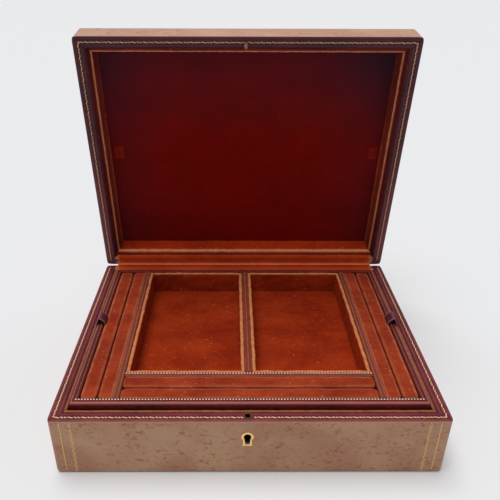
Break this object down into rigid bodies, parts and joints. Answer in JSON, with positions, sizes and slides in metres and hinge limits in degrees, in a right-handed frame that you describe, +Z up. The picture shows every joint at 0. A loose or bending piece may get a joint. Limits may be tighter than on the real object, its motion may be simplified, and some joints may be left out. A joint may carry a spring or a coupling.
{
  "type": "jewellery case",
  "caption": "Leather-covered jewellery case with a hinged lid, a lift-out tray of velvet wells and ring pads, pull tabs and a small box lock.",
  "frame": {"origin": "middle of the base's bottom face", "axes": "+X to the right along the front, +Y from the front to the hinge side, +Z up"},
  "size_m": [0.3, 0.2693, 0.2956],
  "materials": {
    "tan_leather": "worn, lightly mottled",
    "plum_leather": "satin, with gold tooling",
    "bottom_paper": "matte",
    "carcass_wood": "raw",
    "lining_velvet": "short pile, worn edges",
    "brass": "aged",
    "steel": "plain"
  },
  "bodies": {
    "base": {"base_leather_cover": "tan_leather", "base_bottom_cover": "bottom_paper", "base_floor_board": "carcass_wood", "base_left_board": "carcass_wood", "base_right_board": "carcass_wood", "base_back_board": "carcass_wood", "base_front_board": "carcass_wood", "base_rim_leather": "plum_leather", "base_lining_front": "lining_velvet", "base_lining_back": "lining_velvet", "base_lining_left": "lining_velvet", "base_lining_right": "lining_velvet", "base_floor_pad": "lining_velvet", "tray_rest_left": "lining_velvet", "tray_rest_right": "lining_velvet", "gusset_base_half": "lining_velvet", "left_hinge_base_leaf": "brass", "right_hinge_base_leaf": "brass", "hinge_pins": "brass", "base_screws": "brass", "lock_case": "brass", "lock_key_post": "brass", "lock_spring": "steel", "lock_ferrule": "brass", "keyhole_escutcheon": "brass"},
    "lid": {"lid_leather_cover": "tan_leather", "lid_top_board": "carcass_wood", "lid_left_board": "carcass_wood", "lid_right_board": "carcass_wood", "lid_back_board": "carcass_wood", "lid_front_board": "carcass_wood", "lid_rim_leather": "plum_leather", "lid_roof_pad": "lining_velvet", "lid_lining_left": "lining_velvet", "lid_lining_right": "lining_velvet", "lid_lining_front": "lining_velvet", "lid_lining_back": "lining_velvet", "gusset_lid_half": "lining_velvet", "left_hinge_lid_leaf": "brass", "right_hinge_lid_leaf": "brass", "lid_strike": "brass", "lid_screws": "brass"},
    "tray": {"tray_bottom_board": "carcass_wood", "tray_left_wall": "plum_leather", "tray_right_wall": "plum_leather", "tray_front_wall": "plum_leather", "tray_back_wall": "plum_leather", "tray_left_divider": "plum_leather", "tray_right_divider": "plum_leather", "tray_front_divider": "plum_leather", "tray_centre_divider": "plum_leather", "left_well_liner": "lining_velvet", "right_well_liner": "lining_velvet", "left_ring_pad": "lining_velvet", "right_ring_pad": "lining_velvet", "front_ring_pad": "lining_velvet"},
    "bolt": {"lock_bolt": "steel"},
    "left_tab": {"left_pull_tab": "plum_leather"},
    "right_tab": {"right_pull_tab": "plum_leather"}
  },
  "joints": [
    {"name": "lid_hinge", "type": "hinge", "parent": "base", "child": "lid", "pos_m": [0, 0.11975, 0.05465], "axis": [-1, 0, 0], "range_deg": [-82, 13]},
    {"name": "tray_lift", "type": "slide", "parent": "base", "child": "tray", "axis": [0, 0, 1], "range_m": [0, 0.03]},
    {"name": "lock_bolt_slide", "type": "slide", "parent": "base", "child": "bolt", "axis": [-1, 0, 0], "range_m": [0, 0.005]},
    {"name": "left_tab_flex", "type": "hinge", "parent": "tray", "child": "left_tab", "pos_m": [-0.136, 0.003, 0.0498], "axis": [1, 0, 0], "range_deg": [-12, 12], "stiffness_Nm_per_rad": 0.02},
    {"name": "right_tab_flex", "type": "hinge", "parent": "tray", "child": "right_tab", "pos_m": [0.136, 0.003, 0.0498], "axis": [1, 0, 0], "range_deg": [-12, 12], "stiffness_Nm_per_rad": 0.02}
  ]
}
